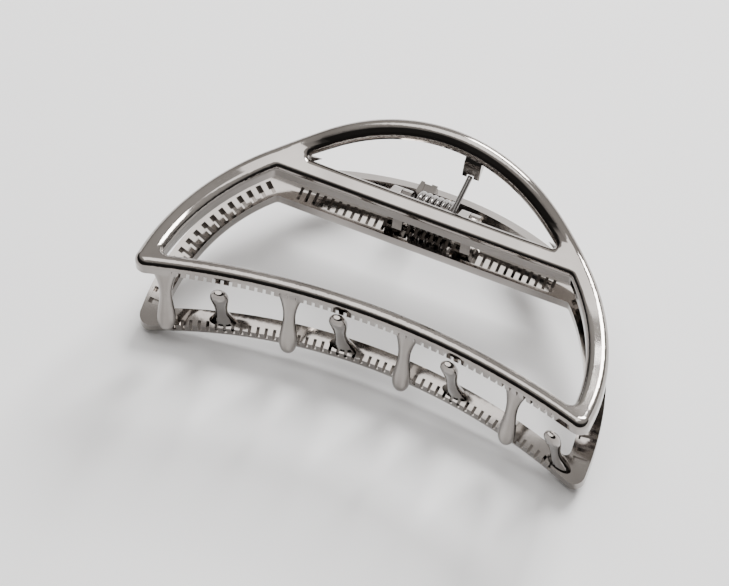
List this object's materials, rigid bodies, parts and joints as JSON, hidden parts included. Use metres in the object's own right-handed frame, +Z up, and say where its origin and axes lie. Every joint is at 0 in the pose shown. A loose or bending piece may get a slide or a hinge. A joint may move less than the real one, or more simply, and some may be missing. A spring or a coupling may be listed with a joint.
{
  "type": "claw clip",
  "caption": "Half-moon metal claw clip for hair: two openwork jaws with crossbar, ribbed inner channel and curved teeth, sprung shut on a riveted hinge.",
  "frame": {"origin": "bottom centre of the whole clip's bounding box, on the table it lies on", "axes": "+X along the hinge axis and the clip's longest extent, to the right with the handle away from the viewer; +Y from the teeth to the finger handle; +Z up, from the lower jaw to the upper jaw"},
  "size_m": [0.085, 0.0472, 0.028],
  "materials": {
    "jaw_plating": "bright black-nickel plating over zinc die casting, mirror smooth with a warm grey tint",
    "pin_plating": "bright black-nickel plated steel rivet",
    "spring_wire": "dark plated spring wire, lightly drawn along its length"
  },
  "bodies": {
    "lower_half": {"lower_jaw": "jaw_plating", "hinge_pin": "pin_plating", "torsion_spring": "spring_wire"},
    "upper_half": {"upper_jaw": "jaw_plating"}
  },
  "joints": [
    {"name": "jaw_hinge", "type": "hinge", "parent": "lower_half", "child": "upper_half", "pos_m": [0, 0.01279, 0.01391], "axis": [-1, 0, 0], "range_deg": [0, 80], "stiffness_Nm_per_rad": 0.15, "springref_deg": -68.75, "deforming": ["torsion_spring"]}
  ]
}
